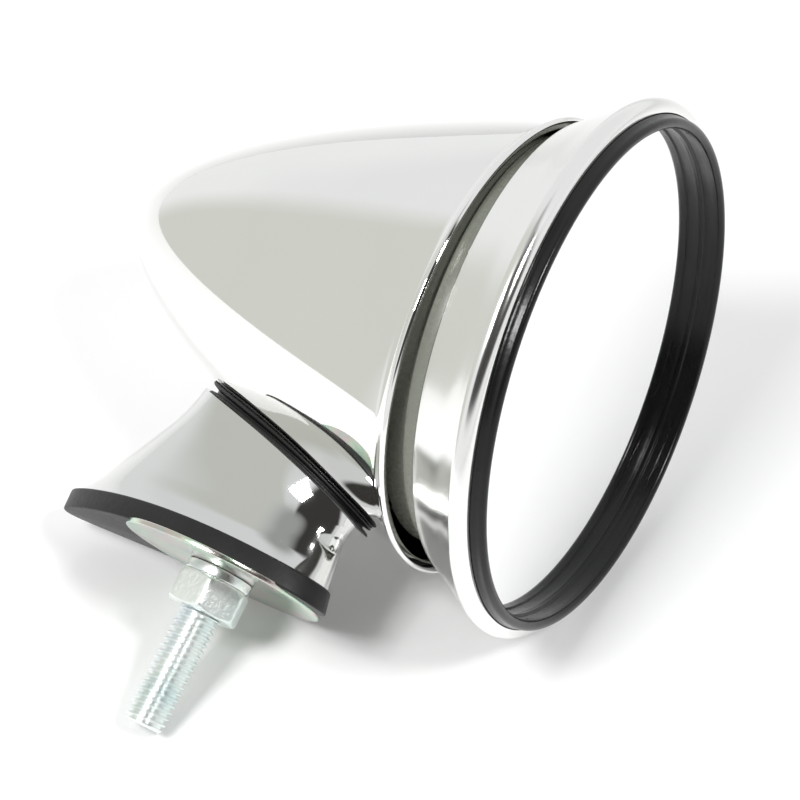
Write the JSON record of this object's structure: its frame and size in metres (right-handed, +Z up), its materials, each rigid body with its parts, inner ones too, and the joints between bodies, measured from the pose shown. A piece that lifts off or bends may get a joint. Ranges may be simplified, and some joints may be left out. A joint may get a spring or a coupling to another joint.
{
  "type": "exterior bullet mirror",
  "caption": "Exterior vehicle mirror: round glass in a trumpet bezel on a bullet shell, over a flared pedestal with a threaded mounting stud; the head tilts and pans on a ball.",
  "frame": {"origin": "on the stud's axis at the underside of the base gasket, where the vehicle's panel sits", "axes": "+Z up the stud into the pedestal, +Y towards the shell's nose, the mirror glass facing -Y, +X to the side"},
  "size_m": [0.102, 0.1077, 0.1431],
  "materials": {
    "polished_chrome": "mirror-polished chrome plate",
    "cast_chrome": "chrome plate on a polished die casting",
    "black_rubber": "moulded, slightly satin",
    "zinc_bright": "bright zinc plate",
    "zinc_yellow": "iridescent passivated zinc plate",
    "plain_steel": "pressed steel, as rolled",
    "spring_steel": "drawn wire",
    "cast_aluminium": "as cast",
    "grey_green_plastic": "satin moulded",
    "natural_nylon": "moulded",
    "mirror_silver": "silvered flat glass",
    "foam": "closed-cell foam"
  },
  "bodies": {
    "stand": {"base_gasket": "black_rubber", "pedestal": "cast_chrome", "saddle_gasket": "black_rubber", "bullet_shell": "polished_chrome", "mounting_stud": "zinc_bright", "penny_washer": "zinc_yellow", "spring_washer": "zinc_bright", "hex_nut": "zinc_bright", "shell_clamp_block": "cast_aluminium", "pivot_bracket": "plain_steel", "clamp_washer": "zinc_bright", "clamp_nut": "zinc_bright", "rear_socket": "plain_steel", "front_socket": "plain_steel", "socket_screws": "zinc_bright", "socket_springs": "spring_steel", "socket_nuts": "zinc_bright"},
    "liner": {"ball_liner": "natural_nylon"},
    "head": {"ball_stud": "plain_steel", "ball_stud_washer": "zinc_bright", "ball_stud_nut": "zinc_bright", "back_plate": "plain_steel", "back_plate_screws": "zinc_bright", "neck_ring": "grey_green_plastic", "bezel": "polished_chrome", "glass_seal": "black_rubber", "mirror_glass": "mirror_silver", "glass_backing": "foam"}
  },
  "joints": [
    {"name": "mirror_pan", "type": "hinge", "parent": "stand", "child": "liner", "pos_m": [0, -0.024, 0.0588], "axis": [0, 0, 1], "range_deg": [-3, 3]},
    {"name": "mirror_tilt", "type": "hinge", "parent": "liner", "child": "head", "pos_m": [0, -0.024, 0.0588], "axis": [1, 0, 0], "range_deg": [-1, 5]}
  ]
}
